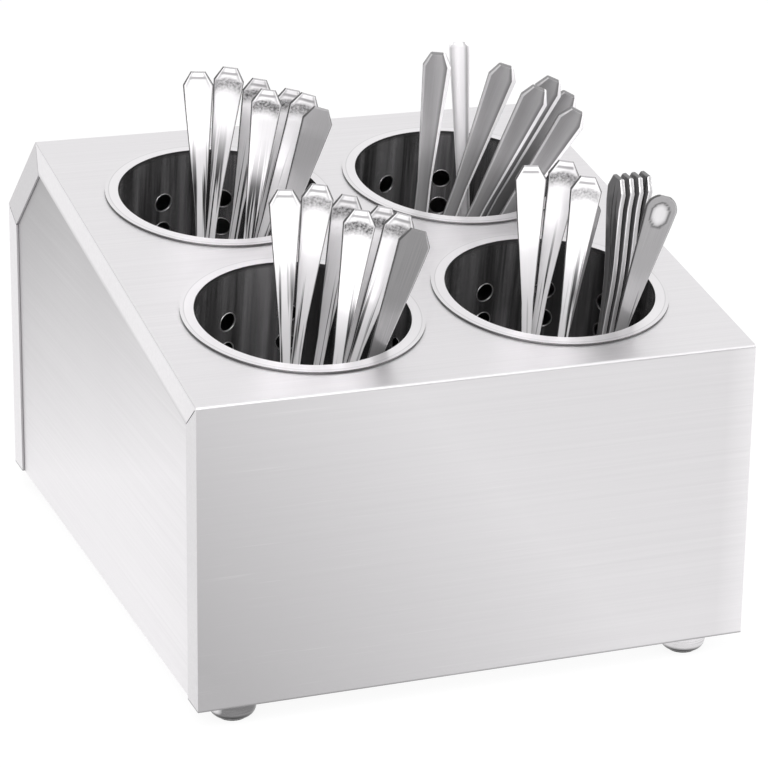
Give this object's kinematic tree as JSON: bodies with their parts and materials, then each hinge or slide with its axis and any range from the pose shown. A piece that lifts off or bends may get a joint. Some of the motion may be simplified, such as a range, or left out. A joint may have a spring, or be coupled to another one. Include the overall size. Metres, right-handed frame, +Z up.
{
  "type": "cutlery dispenser",
  "caption": "Sloped-top stainless casing on short feet that holds lift-out perforated cylinders filled with spoons, forks and knives.",
  "frame": {"origin": "on the ground below the centre of the casing", "axes": "+Z up, -Y out of the low front panel, +X to the right seen from the front"},
  "size_m": [0.265, 0.325, 0.2567],
  "materials": {
    "casing_steel": "fine horizontal grain, satin",
    "side_steel": "fine grain, satin",
    "base_steel": "mill finish",
    "foot_steel": "turned, satin",
    "foot_rubber": "matt",
    "fastener_steel": "zinc plated",
    "cylinder_steel": "polished stainless steel, flat rim satin",
    "knife_steel": "satin blade and handle, polished edges",
    "cutlery_steel": "polished stainless steel"
  },
  "bodies": {
    "casing": {"casing_wrap": "casing_steel", "left_side_panel": "side_steel", "right_side_panel": "side_steel", "base_plate": "base_steel", "feet": "foot_steel", "foot_pads": "foot_rubber", "foot_screws": "fastener_steel", "foot_washers": "fastener_steel"},
    "front_left_cylinder": {"front_left_cylinder": "cylinder_steel"},
    "front_right_cylinder": {"front_right_cylinder": "cylinder_steel"},
    "back_left_cylinder": {"back_left_cylinder": "cylinder_steel"},
    "back_right_cylinder": {"back_right_cylinder": "cylinder_steel"},
    "back_left_spoon_1": {"back_left_spoon_1": "cutlery_steel"},
    "back_left_spoon_2": {"back_left_spoon_2": "cutlery_steel"},
    "back_left_spoon_3": {"back_left_spoon_3": "cutlery_steel"},
    "back_left_spoon_4": {"back_left_spoon_4": "cutlery_steel"},
    "back_left_spoon_5": {"back_left_spoon_5": "cutlery_steel"},
    "back_left_spoon_6": {"back_left_spoon_6": "cutlery_steel"},
    "back_left_spoon_7": {"back_left_spoon_7": "cutlery_steel"},
    "fork_1": {"fork_1": "cutlery_steel"},
    "fork_2": {"fork_2": "cutlery_steel"},
    "fork_3": {"fork_3": "cutlery_steel"},
    "fork_4": {"fork_4": "cutlery_steel"},
    "fork_5": {"fork_5": "cutlery_steel"},
    "front_left_spoon_1": {"front_left_spoon_1": "cutlery_steel"},
    "front_left_spoon_2": {"front_left_spoon_2": "cutlery_steel"},
    "front_left_spoon_3": {"front_left_spoon_3": "cutlery_steel"},
    "front_left_spoon_4": {"front_left_spoon_4": "cutlery_steel"},
    "front_left_spoon_5": {"front_left_spoon_5": "cutlery_steel"},
    "front_left_spoon_6": {"front_left_spoon_6": "cutlery_steel"},
    "front_left_spoon_7": {"front_left_spoon_7": "cutlery_steel"},
    "knife_1": {"knife_1": "knife_steel"},
    "knife_2": {"knife_2": "knife_steel"},
    "knife_3": {"knife_3": "knife_steel"},
    "knife_4": {"knife_4": "knife_steel"},
    "knife_5": {"knife_5": "knife_steel"},
    "knife_6": {"knife_6": "knife_steel"},
    "knife_7": {"knife_7": "knife_steel"},
    "fork_stack": {"stacked_fork_1": "cutlery_steel", "stacked_fork_2": "cutlery_steel", "stacked_fork_3": "cutlery_steel", "stacked_fork_4": "cutlery_steel"}
  },
  "joints": [
    {"name": "front_left_cylinder_lift", "type": "slide", "parent": "casing", "child": "front_left_cylinder", "axis": [0, -0.1776, 0.9841], "range_m": [0, 0.16]},
    {"name": "front_right_cylinder_lift", "type": "slide", "parent": "casing", "child": "front_right_cylinder", "axis": [0, -0.1776, 0.9841], "range_m": [0, 0.16]},
    {"name": "back_left_cylinder_lift", "type": "slide", "parent": "casing", "child": "back_left_cylinder", "axis": [0, -0.1776, 0.9841], "range_m": [0, 0.16]},
    {"name": "back_right_cylinder_lift", "type": "slide", "parent": "casing", "child": "back_right_cylinder", "axis": [0, -0.1776, 0.9841], "range_m": [0, 0.16]},
    {"name": "back_left_spoon_1_lift", "type": "slide", "parent": "back_left_cylinder", "child": "back_left_spoon_1", "axis": [0, -0.1776, 0.9841], "range_m": [0, 0.15]},
    {"name": "back_left_spoon_2_lift", "type": "slide", "parent": "back_left_cylinder", "child": "back_left_spoon_2", "axis": [0, -0.1776, 0.9841], "range_m": [0, 0.15]},
    {"name": "back_left_spoon_3_lift", "type": "slide", "parent": "back_left_cylinder", "child": "back_left_spoon_3", "axis": [0, -0.1776, 0.9841], "range_m": [0, 0.15]},
    {"name": "back_left_spoon_4_lift", "type": "slide", "parent": "back_left_cylinder", "child": "back_left_spoon_4", "axis": [0, -0.1776, 0.9841], "range_m": [0, 0.15]},
    {"name": "back_left_spoon_5_lift", "type": "slide", "parent": "back_left_cylinder", "child": "back_left_spoon_5", "axis": [0, -0.1776, 0.9841], "range_m": [0, 0.15]},
    {"name": "back_left_spoon_6_lift", "type": "slide", "parent": "back_left_cylinder", "child": "back_left_spoon_6", "axis": [0, -0.1776, 0.9841], "range_m": [0, 0.15]},
    {"name": "back_left_spoon_7_lift", "type": "slide", "parent": "back_left_cylinder", "child": "back_left_spoon_7", "axis": [0, -0.1776, 0.9841], "range_m": [0, 0.15]},
    {"name": "fork_1_lift", "type": "slide", "parent": "front_right_cylinder", "child": "fork_1", "axis": [0, -0.1776, 0.9841], "range_m": [0, 0.15]},
    {"name": "fork_2_lift", "type": "slide", "parent": "front_right_cylinder", "child": "fork_2", "axis": [0, -0.1776, 0.9841], "range_m": [0, 0.15]},
    {"name": "fork_3_lift", "type": "slide", "parent": "front_right_cylinder", "child": "fork_3", "axis": [0, -0.1776, 0.9841], "range_m": [0, 0.15]},
    {"name": "fork_4_lift", "type": "slide", "parent": "front_right_cylinder", "child": "fork_4", "axis": [0, -0.1776, 0.9841], "range_m": [0, 0.15]},
    {"name": "fork_5_lift", "type": "slide", "parent": "front_right_cylinder", "child": "fork_5", "axis": [0, -0.1776, 0.9841], "range_m": [0, 0.15]},
    {"name": "front_left_spoon_1_lift", "type": "slide", "parent": "front_left_cylinder", "child": "front_left_spoon_1", "axis": [0, -0.1776, 0.9841], "range_m": [0, 0.15]},
    {"name": "front_left_spoon_2_lift", "type": "slide", "parent": "front_left_cylinder", "child": "front_left_spoon_2", "axis": [0, -0.1776, 0.9841], "range_m": [0, 0.15]},
    {"name": "front_left_spoon_3_lift", "type": "slide", "parent": "front_left_cylinder", "child": "front_left_spoon_3", "axis": [0, -0.1776, 0.9841], "range_m": [0, 0.15]},
    {"name": "front_left_spoon_4_lift", "type": "slide", "parent": "front_left_cylinder", "child": "front_left_spoon_4", "axis": [0, -0.1776, 0.9841], "range_m": [0, 0.15]},
    {"name": "front_left_spoon_5_lift", "type": "slide", "parent": "front_left_cylinder", "child": "front_left_spoon_5", "axis": [0, -0.1776, 0.9841], "range_m": [0, 0.15]},
    {"name": "front_left_spoon_6_lift", "type": "slide", "parent": "front_left_cylinder", "child": "front_left_spoon_6", "axis": [0, -0.1776, 0.9841], "range_m": [0, 0.15]},
    {"name": "front_left_spoon_7_lift", "type": "slide", "parent": "front_left_cylinder", "child": "front_left_spoon_7", "axis": [0, -0.1776, 0.9841], "range_m": [0, 0.15]},
    {"name": "knife_1_lift", "type": "slide", "parent": "back_right_cylinder", "child": "knife_1", "axis": [0, -0.1776, 0.9841], "range_m": [0, 0.15]},
    {"name": "knife_2_lift", "type": "slide", "parent": "back_right_cylinder", "child": "knife_2", "axis": [0, -0.1776, 0.9841], "range_m": [0, 0.15]},
    {"name": "knife_3_lift", "type": "slide", "parent": "back_right_cylinder", "child": "knife_3", "axis": [0, -0.1776, 0.9841], "range_m": [0, 0.15]},
    {"name": "knife_4_lift", "type": "slide", "parent": "back_right_cylinder", "child": "knife_4", "axis": [0, -0.1776, 0.9841], "range_m": [0, 0.15]},
    {"name": "knife_5_lift", "type": "slide", "parent": "back_right_cylinder", "child": "knife_5", "axis": [0, -0.1776, 0.9841], "range_m": [0, 0.15]},
    {"name": "knife_6_lift", "type": "slide", "parent": "back_right_cylinder", "child": "knife_6", "axis": [0, -0.1776, 0.9841], "range_m": [0, 0.15]},
    {"name": "knife_7_lift", "type": "slide", "parent": "back_right_cylinder", "child": "knife_7", "axis": [0, -0.1776, 0.9841], "range_m": [0, 0.15]},
    {"name": "fork_stack_lift", "type": "slide", "parent": "front_right_cylinder", "child": "fork_stack", "axis": [0, -0.1776, 0.9841], "range_m": [0, 0.15]}
  ]
}
